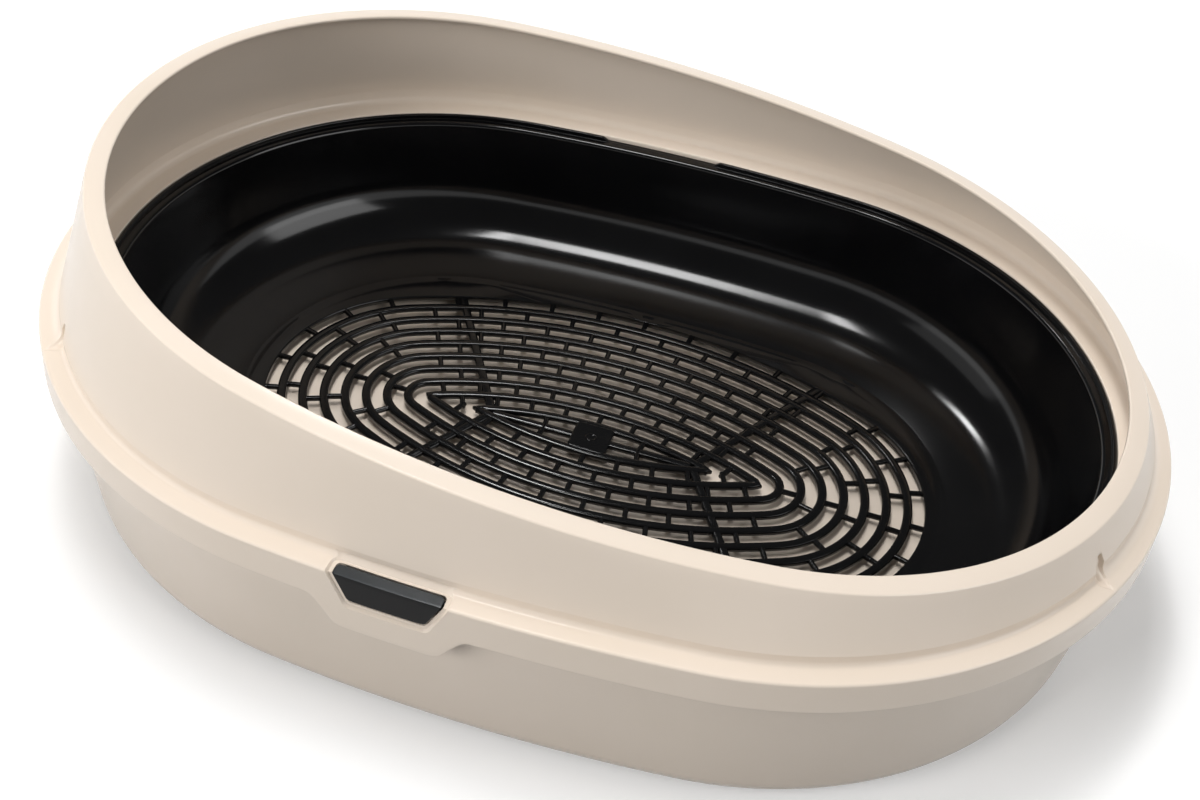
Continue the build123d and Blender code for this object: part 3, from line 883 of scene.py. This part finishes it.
apron_half = [(APRON_FOOT_HALF, APRON_FOOT), (APRON_TOP_HALF, SKIRT_FOOT), (APRON_END, SKIRT_FOOT)]
apron_corners = [(-x, z) for x, z in reversed(apron_half)] + apron_half
apron_line = rounded([(np.array([[x, 0.0, z]]), APRON_RADIUS, 8, 0) for x, z in apron_corners], closed=False)
skirt_foot = np.interp(FROM_LATCH, [ring[0, 0] for ring in apron_line], [ring[0, 2] for ring in apron_line])

# 1 on the end panels, between the grooves, and 0 elsewhere
low_panel_end = LOW_GROOVE * END_RADIUS
high_panel_end = HIGH_GROOVE * END_RADIUS
end_panel = np.maximum(
    np.interp(np.abs(beside(0.0)), [low_panel_end - PANEL_FADE, low_panel_end], [1, 0]),
    np.interp(np.abs(beside(np.pi)), [high_panel_end - PANEL_FADE, high_panel_end], [1, 0]),
)
wall_foot = level(WALL_INSET + end_panel * PANEL_LEAN, COLLAR + end_panel * PANEL_RISE)
crease = tilted(0, 0)
wall_rise = crease - wall_foot
groove_level = wall_foot + wall_rise * (GROOVE_RING / wall_rise[:, 2])[:, None]
shelf_back = level(WALL_INSET, SHELF + SHELF_RISE + end_panel * PANEL_SHELF_RISE)
outer_corners = [
    (level(RIM_WALL, skirt_foot), 0.6, 3, 0),
    (level(0, skirt_foot), 0.7, 3, 10),
    (level(0, SHELF), SHELF_EDGE_RADIUS, 6, 8),
    (shelf_back, SHELF_COVE_RADIUS + end_panel * PANEL_COVE, 8, 0),
    (wall_foot, 1.0 + end_panel, 4, 8),
    (groove_level, 0, 0, 4),
]
inner_corners = [
    (crease, CREASE_RADIUS, 6, 1),
    (tilted(LIP_WIDTH, LIP_RISE), 0.9, 4, 0),
    (tilted(LIP_WIDTH, LIP_RISE - LIP_EDGE), 0.8, 3, 0),
    (tilted(LIP_ROOT_INSET, -LIP_ROOT_DROP), 1.4, 4, 2),
    (level(WALL_INSET + RIM_WALL, COLLAR), 3.0, 4, 0),
    (level(WALL_INSET + RIM_WALL, LEDGE_COVE_FOOT), LEDGE_COVE_RADIUS, 6, 0),
    (level(LEDGE_INSET, LEDGE_TOP), 0.8, 3, 0),
    (level(LEDGE_INSET, TRAY_TOP + LEDGE_GAP), 0.4, 2, 0),
    (level(CHANNEL_INSET, TRAY_TOP + LEDGE_GAP), 0.4, 2, 0),
    (level(CHANNEL_INSET, CHANNEL_TOP), 0.8, 3, 0),
    (level(RIM_WALL, SHELF - RIM_WALL + RIM_WALL * SHELF_SLOPE), 0.8, 3, 0),
]
rim_rings = rounded(outer_corners + inner_corners, closed=True)

# Grooves: a scoop that widens across the shelf and runs up the foot of the wall, beside each end panel
inwards = -np.stack([np.cos(STATIONS), np.sin(STATIONS), np.zeros(len(STATIONS))], axis=1)
shelf_edge = level(0, SHELF)
from_groove = np.min([np.abs(beside(bearing)) for bearing in GROOVES], axis=0)
outer_count = sum(steps + 1 + splits for _, _, steps, splits in outer_corners)
for ring in rim_rings[:outer_count]:
    from_edge = np.linalg.norm((ring - shelf_edge)[:, :2], axis=1)
    half = np.interp(from_edge, GROOVE_PLACES, GROOVE_HALVES)
    half *= np.interp(ring[:, 2], GROOVE_NARROWS, [1.0, GROOVE_NARROWED])
    depth = np.interp(from_edge, GROOVE_PLACES, GROOVE_DEPTHS) * (1 - eased(ring[:, 2], *GROOVE_ENDS))
    depth *= 1 - eased(from_groove, half - GROOVE_EDGE, half + GROOVE_EDGE)
    wall_share = eased(ring[:, 2], SHELF, SHELF + GROOVE_TURN)
    ring += inwards * (depth * wall_share)[:, None]
    ring[:, 2] -= depth * (1 - wall_share) * GROOVE_SINK
rim = ring_piece("rim_shield", rim_rings, closed=True)


def latch_rows(margin, foot_drop, end_inset, corner):
    """Rows of a latch-shaped patch over skirt and shelf: the leg, the share along it and the half width."""
    foot = LATCH_FOOT - foot_drop
    front = SHELF - foot
    foot_half = LATCH_FOOT_HALF - LATCH_LEAN * foot_drop + margin
    top_half = LATCH_HALF + margin
    foot_corner = corner * FOOT_CORNER_SHARE
    curve = np.linspace(0, np.pi / 2, CORNER_ROWS)
    rows = []
    for turn in curve:
        up = foot_corner * (1 - cos(turn))
        rows.append((FRONT_LEG, up / front, foot_half + LATCH_LEAN * up - foot_corner * (1 - sin(turn))))
    for share in np.linspace(foot_corner / front, 1, FRONT_ROWS)[1:]:
        rows.append((FRONT_LEG, share, foot_half + LATCH_LEAN * share * front))
    for share in np.linspace(0, 1 - corner / end_inset, TOP_ROWS)[1:-1]:
        rows.append((TOP_LEG, share, top_half))
    for turn in curve[::-1]:
        share = 1 - corner * (1 - cos(turn)) / end_inset
        rows.append((TOP_LEG, share, top_half - corner * (1 - sin(turn))))
    return rows, foot


def latch_patch(rows, foot, end_inset, depth, grow=0.0):
    """Points of a patch at a depth under the skirt and shelf, front latch side."""
    thick = depth * hypot(1, SHELF_SLOPE)
    corner = np.array([depth, SHELF + depth * SHELF_SLOPE - thick])
    end = end_inset + grow
    legs = {
        FRONT_LEG: (np.array([depth, foot - grow]), corner),
        TOP_LEG: (corner, np.array([end, SHELF + end * SHELF_SLOPE - thick])),
    }
    across = np.linspace(-1, 1, ROW_POINTS)
    patch = []
    for leg, share, half in rows:
        start, stop = legs[leg]
        inset, height = start + (stop - start) * share
        bearings = FRONT_BEARING + across * (half + grow) / SIDE_RADIUS
        patch.append(oval_points(bearings, inset, height, **PLAN))
    return np.array(patch)


def latch_solid(name, outer, inner):
    """Closed mesh between two patches."""
    rows, columns, _ = outer.shape
    index = np.arange(rows * columns).reshape(rows, columns)
    back = index + rows * columns
    faces = []
    for grid in (index, back):
        quads = [grid[:-1, :-1], grid[:-1, 1:], grid[1:, 1:], grid[1:, :-1]]
        faces.extend(np.stack([q.ravel() for q in quads], axis=1).tolist())
    outline = np.concatenate([index[0, :-1], index[:-1, -1], index[-1, :0:-1], index[:0:-1, 0]])
    for a, b in zip(outline, np.roll(outline, -1)):
        faces.append([int(a), int(b), int(b + rows * columns), int(a + rows * columns)])
    return mesh_piece(name, np.concatenate([outer.reshape(-1, 3), inner.reshape(-1, 3)]), faces)


# Pocket of each latch: a sunk border with sloping sides, and a window for the clip
border_rows, border_foot = latch_rows(margin=3.4, foot_drop=4.8, end_inset=BORDER_END, corner=3.6)
border_tool = latch_solid(
    "pocket_border",
    latch_patch(border_rows, border_foot, BORDER_END, depth=-2.0, grow=1.9),
    latch_patch(border_rows, border_foot, BORDER_END, depth=1.3, grow=-0.8),
)
window_rows, window_foot = latch_rows(margin=0.7, foot_drop=2.0, end_inset=WINDOW_END, corner=2.5)
window_tool = latch_solid(
    "pocket_window",
    latch_patch(window_rows, window_foot, WINDOW_END, depth=-1.0),
    latch_patch(window_rows, window_foot, WINDOW_BACK_END, depth=4.4),
)
border_tool_back = mirrored(border_tool, "pocket_border_back")
window_tool_back = mirrored(window_tool, "pocket_window_back")
cut(rim, border_tool, border_tool_back, window_tool, window_tool_back)


def hinge_bar(name, sections):
    """Round bar on the hinge line, through (place along it, radius) sections."""
    turns = np.linspace(0, 2 * np.pi, HINGE_POINTS, endpoint=False)
    middle = oval_points(np.array([FRONT_BEARING]), HINGE_INSET, HINGE_HEIGHT, **PLAN)[0]
    outwards = np.array([cos(FRONT_BEARING), sin(FRONT_BEARING), 0.0])
    sideways = np.array([-outwards[1], outwards[0], 0.0])
    rings = []
    for place, radius in sections:
        ring = middle + sideways * place + np.outer(np.cos(turns) * radius, outwards)
        rings.append(ring + np.outer(np.sin(turns) * radius, (0, 0, 1)))
    return ring_piece(name, rings, closed=False)


# Latch: clip that wraps the shelf's edge, with a barrel, pins, a bead behind its foot and a lip under it
clip_rows, clip_foot = latch_rows(margin=0.0, foot_drop=0.0, end_inset=CLIP_END, corner=2.0)
latch_front = latch_solid(
    "latch_front_clip",
    latch_patch(clip_rows, clip_foot, CLIP_END, CLIP_FACE),
    latch_patch(clip_rows, clip_foot, CLIP_END, CLIP_BACK),
)
edge_bevel = latch_front.modifiers.new("edges", "BEVEL")
edge_bevel.width = CLIP_BEVEL * MM
edge_bevel.segments = 3
edge_bevel.angle_limit = radians(40)
finished(latch_front)
# Places along the hinge line, and the radii there, from the tip of a pin to the barrel
pin_end = [(28.4, 0.8), (28.1, 1.1), (23.6, 1.1), (23.5, 1.4), (23.2, 1.6)]
barrel = hinge_bar("latch_barrel", [(-place, radius) for place, radius in pin_end] + pin_end[::-1])
bead_root_rows = [(FRONT_LEG, share, BEAD_HALF) for share in (0.04, 0.08, 0.12)]
bead_tip_rows = [(FRONT_LEG, share, BEAD_HALF) for share in (0.06, 0.08, 0.10)]
bead = latch_solid(
    "latch_bead",
    latch_patch(bead_root_rows, clip_foot, CLIP_END, depth=1.5),
    latch_patch(bead_tip_rows, clip_foot, CLIP_END, depth=4.1),
)
foot_lip_rows = [(FRONT_LEG, -0.11, 16.2), (FRONT_LEG, -0.04, 16.8), (FRONT_LEG, 0.04, 17.2)]
foot_lip = latch_solid(
    "latch_foot_lip",
    latch_patch(foot_lip_rows, clip_foot, CLIP_END, depth=1.3),
    latch_patch(foot_lip_rows, clip_foot, CLIP_END, depth=2.6),
)
joined(latch_front, barrel, bead, foot_lip)
latch_back = mirrored(latch_front, "latch_back_clip")

dress(base_pan, BEIGE, "base", "beige_shell", "base_pan")
dress(litter_pan, BEIGE, "litter", "beige_shell", "litter_pan")
dress(sieve_bowl, GLOSS_BLACK, "sieve", "black_tray", "sieve_bowl")
dress(sieve_grate, GLOSS_BLACK, "sieve", "black_tray", "sieve_grate")
dress(rim, BEIGE, "rim", "beige_shell", "rim")
dress(latch_front, SATIN_BLACK, "front_latch", "black_latch", "latch_front")
dress(latch_back, SATIN_BLACK, "back_latch", "black_latch", "latch_back")

# The latches' faces that look up past this slope get the painted sheen: their colour is painted lighter than
# the front's
FACES_UP = 0.6
for latch in (latch_front, latch_back):
    latch.data.materials.append(PAINTED_SHEEN_BLACK)
    for face in latch.data.polygons:
        face.material_index = int(face.normal.z > FACES_UP)

# Studio: white floor that sweeps up all round, soft lights and dim surroundings

FLOOR_PROFILE = [(5, -1), (700, -1), (2200, -1), (2600, 80), (2900, 330), (3100, 800), (3200, 1500)]
FLOOR_POINTS = 96

floor_rings = [circle(radius, height, FLOOR_POINTS) for radius, height in FLOOR_PROFILE]
floor_faces = [list(range(FLOOR_POINTS))] + ring_faces(floor_rings, closed=False)
floor = placed("studio_floor", mesh_of("studio_floor", np.concatenate(floor_rings), floor_faces))
floor.data.shade_smooth()

# White studio paper: matt, with the box's soft shadow on it. The eye sees it lifted to white, more so far
# from the box, and what it throws back at the box is only that of a grey table.
paper = bpy.data.materials.new("white_studio_paper")
paper.use_nodes = True
paper_tree = paper.node_tree
paper_tree.nodes.clear()
ray = add_node(paper_tree, "ShaderNodeLightPath").outputs
in_mirror = add_node(
    paper_tree,
    "ShaderNodeMath",
    {"operation": "MAXIMUM"},
    {0: ray["Is Glossy Ray"], 1: ray["Is Transmission Ray"]},
)
in_view = add_node(
    paper_tree,
    "ShaderNodeMath",
    {"operation": "MAXIMUM"},
    {0: ray["Is Camera Ray"], 1: in_mirror.outputs["Value"]},
)
paper_tone = add_node(paper_tree, "ShaderNodeValToRGB", links={"Fac": in_view.outputs["Value"]})
for stop, colour in zip(paper_tone.color_ramp.elements, ("#9A9A9A", "#F3F3F3")):
    stop.color = linear(colour)
sheet = add_node(
    paper_tree,
    "ShaderNodeBsdfDiffuse",
    {"Roughness": 1.0},
    {"Color": paper_tone.outputs["Color"]},
)
paper_place = add_node(paper_tree, "ShaderNodeTexCoord")
from_box = add_node(
    paper_tree,
    "ShaderNodeVectorMath",
    {"operation": "LENGTH"},
    {0: paper_place.outputs["Object"]},
)
paper_lift = add_node(
    paper_tree,
    "ShaderNodeMapRange",
    {"From Min": 0.6, "From Max": 2.6, "To Min": 0.17, "To Max": 0.85},
    {"Value": from_box.outputs["Value"]},
)
lift = add_node(
    paper_tree,
    "ShaderNodeMath",
    {"operation": "MULTIPLY"},
    {0: in_view.outputs["Value"], 1: paper_lift.outputs["Result"]},
)
glow = add_node(paper_tree, "ShaderNodeEmission", links={"Strength": lift.outputs["Value"]})
lifted = add_node(
    paper_tree,
    "ShaderNodeAddShader",
    links={0: sheet.outputs["BSDF"], 1: glow.outputs["Emission"]},
)
add_node(paper_tree, "ShaderNodeOutputMaterial", links={"Surface": lifted.outputs["Shader"]})
floor.data.materials.append(paper)

world = bpy.data.worlds.new("dim_studio")
world.use_nodes = True
world.node_tree.nodes.clear()
sky = add_node(world.node_tree, "ShaderNodeBackground", {"Color": linear("#FFFFFF"), "Strength": 0.1})
add_node(world.node_tree, "ShaderNodeOutputWorld", links={"Surface": sky.outputs["Background"]})
bpy.context.scene.world = world


def facing(side, up, back, place):
    """Matrix of a lamp or camera from its axes and its place in metres."""
    return Matrix(np.vstack([np.stack([side, up, back, place], axis=1), (0, 0, 0, 1)]))


# Rise of a lamp's axis past which its upper edge turns to the back, because up is no longer a guide
STEEP = 0.9


def softbox(name, place, aim, size, watts, in_reflections):
    """Rectangular soft light that faces a point, in metres."""
    lamp = bpy.data.lights.new(name, "AREA")
    lamp.shape = "RECTANGLE"
    lamp.size, lamp.size_y = size
    lamp.energy = watts
    light = placed(name, lamp)
    back = np.subtract(place, aim) / np.linalg.norm(np.subtract(place, aim))
    side = np.cross((0, 1, 0) if abs(back[2]) > STEEP else (0, 0, 1), back)
    side = side / np.linalg.norm(side)
    light.matrix_world = facing(side, np.cross(back, side), back, place)
    light.visible_glossy = in_reflections


BOX_MIDDLE = (0.0, 0.0, 0.1)
TRAY_MIDDLE = (-0.05, 0.0, 0.1)
OVERHEAD = (-0.3, 0.0, 1.9)
BEHIND = (-0.46, 1.08, 1.62)

softbox("overhead_strip", OVERHEAD, TRAY_MIDDLE, (0.15, 0.45), watts=5.0, in_reflections=True)
softbox("overhead_fill", OVERHEAD, TRAY_MIDDLE, (0.5, 1.2), watts=15.4, in_reflections=False)
softbox("left_softbox", (-1.7, -0.5, 1.0), BOX_MIDDLE, (1.4, 1.0), watts=2.6, in_reflections=True)
softbox("left_low_fill", (-1.1, -1.45, 0.8), BOX_MIDDLE, (1.0, 0.8), watts=19.8, in_reflections=False)
softbox("right_softbox", (1.7, -0.4, 1.1), BOX_MIDDLE, (1.4, 1.0), watts=14.4, in_reflections=True)
softbox("back_strip", BEHIND, BOX_MIDDLE, (0.2, 0.15), watts=3.0, in_reflections=True)
softbox("back_fill", BEHIND, BOX_MIDDLE, (1.0, 0.8), watts=4.2, in_reflections=False)

# Camera at the photo's angle, for a frame of 1200 by 800

AZIMUTH = radians(12.328)
ELEVATION = radians(39.52)
ROLL = radians(7.028)
DISTANCE = 881.35
SHIFT_RIGHT = -1.88
SHIFT_UP = -34.605
AIM = (0, 0, 100.0)
FRAME_PIXELS = 1200
FOCAL_PIXELS = 1674.26
SENSOR = 36.0

view_back = np.array([sin(AZIMUTH) * cos(ELEVATION), -cos(AZIMUTH) * cos(ELEVATION), sin(ELEVATION)])
view_right = np.array([cos(AZIMUTH), sin(AZIMUTH), 0.0])
view_up = np.cross(view_back, view_right)
right = cos(ROLL) * view_right + sin(ROLL) * view_up
up = cos(ROLL) * view_up - sin(ROLL) * view_right
eye = (view_back * DISTANCE + right * SHIFT_RIGHT + up * SHIFT_UP + AIM) * MM
lens = bpy.data.cameras.new("photo_camera")
lens.sensor_width = SENSOR
lens.lens = FOCAL_PIXELS / FRAME_PIXELS * SENSOR
lens.clip_start, lens.clip_end = 0.05, 20.0
camera = placed("photo_camera", lens)
camera.matrix_world = facing(right, up, view_back, eye)
bpy.context.scene.camera = camera
bpy.context.scene.view_settings.view_transform = "Standard"
